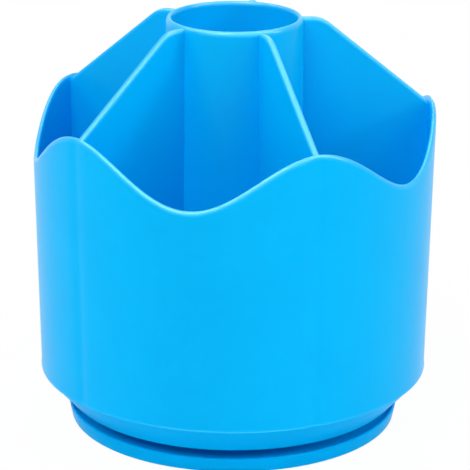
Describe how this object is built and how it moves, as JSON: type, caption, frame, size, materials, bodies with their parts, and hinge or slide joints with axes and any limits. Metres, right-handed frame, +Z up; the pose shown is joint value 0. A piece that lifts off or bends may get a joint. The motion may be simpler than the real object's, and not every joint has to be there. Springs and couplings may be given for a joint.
{
  "type": "rotating pen holder",
  "caption": "Round plastic desk cup with radial compartments, a central tube and a wavy rim, turning on a ball race over a low round base.",
  "frame": {"origin": "on the desk, under the middle of the base, on the axis that the cup turns about", "axes": "+Z up along the turning axis; +X along the first divider at rest"},
  "size_m": [0.1227, 0.1226, 0.1273],
  "materials": {
    "blue_plastic": "satin",
    "white_plastic": "natural",
    "steel": "polished",
    "foot_rubber": "matte"
  },
  "bodies": {
    "base": {"base": "blue_plastic", "foot_1": "foot_rubber", "foot_2": "foot_rubber", "foot_3": "foot_rubber", "foot_4": "foot_rubber"},
    "cup": {"cup": "blue_plastic", "retaining_washer": "steel", "pivot_screw": "steel"},
    "cage": {"ball_cage": "white_plastic"},
    "ball_01": {"ball_01": "steel"},
    "ball_02": {"ball_02": "steel"},
    "ball_03": {"ball_03": "steel"},
    "ball_04": {"ball_04": "steel"},
    "ball_05": {"ball_05": "steel"},
    "ball_06": {"ball_06": "steel"},
    "ball_07": {"ball_07": "steel"},
    "ball_08": {"ball_08": "steel"},
    "ball_09": {"ball_09": "steel"},
    "ball_10": {"ball_10": "steel"},
    "ball_11": {"ball_11": "steel"},
    "ball_12": {"ball_12": "steel"}
  },
  "joints": [
    {"name": "cup_spin", "type": "hinge", "parent": "base", "child": "cup", "pos_m": [0, 0, 0.0075], "axis": [0, 0, 1], "continuous": true},
    {"name": "cage_spin", "type": "hinge", "parent": "base", "child": "cage", "pos_m": [0, 0, 0.00655], "axis": [0, 0, 1], "continuous": true},
    {"name": "ball_01_roll", "type": "hinge", "parent": "cage", "child": "ball_01", "pos_m": [0.034, 0, 0.00655], "axis": [1, 0, 0], "continuous": true},
    {"name": "ball_02_roll", "type": "hinge", "parent": "cage", "child": "ball_02", "pos_m": [0.02944, 0.017, 0.00655], "axis": [0.866, 0.5, 0], "continuous": true},
    {"name": "ball_03_roll", "type": "hinge", "parent": "cage", "child": "ball_03", "pos_m": [0.017, 0.02944, 0.00655], "axis": [0.5, 0.866, 0], "continuous": true},
    {"name": "ball_04_roll", "type": "hinge", "parent": "cage", "child": "ball_04", "pos_m": [0, 0.034, 0.00655], "axis": [0, 1, 0], "continuous": true},
    {"name": "ball_05_roll", "type": "hinge", "parent": "cage", "child": "ball_05", "pos_m": [-0.017, 0.02944, 0.00655], "axis": [-0.5, 0.866, 0], "continuous": true},
    {"name": "ball_06_roll", "type": "hinge", "parent": "cage", "child": "ball_06", "pos_m": [-0.02944, 0.017, 0.00655], "axis": [-0.866, 0.5, 0], "continuous": true},
    {"name": "ball_07_roll", "type": "hinge", "parent": "cage", "child": "ball_07", "pos_m": [-0.034, 0, 0.00655], "axis": [-1, 0, 0], "continuous": true},
    {"name": "ball_08_roll", "type": "hinge", "parent": "cage", "child": "ball_08", "pos_m": [-0.02944, -0.017, 0.00655], "axis": [-0.866, -0.5, 0], "continuous": true},
    {"name": "ball_09_roll", "type": "hinge", "parent": "cage", "child": "ball_09", "pos_m": [-0.017, -0.02944, 0.00655], "axis": [-0.5, -0.866, 0], "continuous": true},
    {"name": "ball_10_roll", "type": "hinge", "parent": "cage", "child": "ball_10", "pos_m": [0, -0.034, 0.00655], "axis": [0, -1, 0], "continuous": true},
    {"name": "ball_11_roll", "type": "hinge", "parent": "cage", "child": "ball_11", "pos_m": [0.017, -0.02944, 0.00655], "axis": [0.5, -0.866, 0], "continuous": true},
    {"name": "ball_12_roll", "type": "hinge", "parent": "cage", "child": "ball_12", "pos_m": [0.02944, -0.017, 0.00655], "axis": [0.866, -0.5, 0], "continuous": true}
  ],
  "couplings": [
    {"joint": "cage_spin", "follows": "cup_spin", "ratio": 0.5},
    {"joint": "ball_01_roll", "follows": "cup_spin", "ratio": -8.5},
    {"joint": "ball_02_roll", "follows": "cup_spin", "ratio": -8.5},
    {"joint": "ball_03_roll", "follows": "cup_spin", "ratio": -8.5},
    {"joint": "ball_04_roll", "follows": "cup_spin", "ratio": -8.5},
    {"joint": "ball_05_roll", "follows": "cup_spin", "ratio": -8.5},
    {"joint": "ball_06_roll", "follows": "cup_spin", "ratio": -8.5},
    {"joint": "ball_07_roll", "follows": "cup_spin", "ratio": -8.5},
    {"joint": "ball_08_roll", "follows": "cup_spin", "ratio": -8.5},
    {"joint": "ball_09_roll", "follows": "cup_spin", "ratio": -8.5},
    {"joint": "ball_10_roll", "follows": "cup_spin", "ratio": -8.5},
    {"joint": "ball_11_roll", "follows": "cup_spin", "ratio": -8.5},
    {"joint": "ball_12_roll", "follows": "cup_spin", "ratio": -8.5}
  ]
}
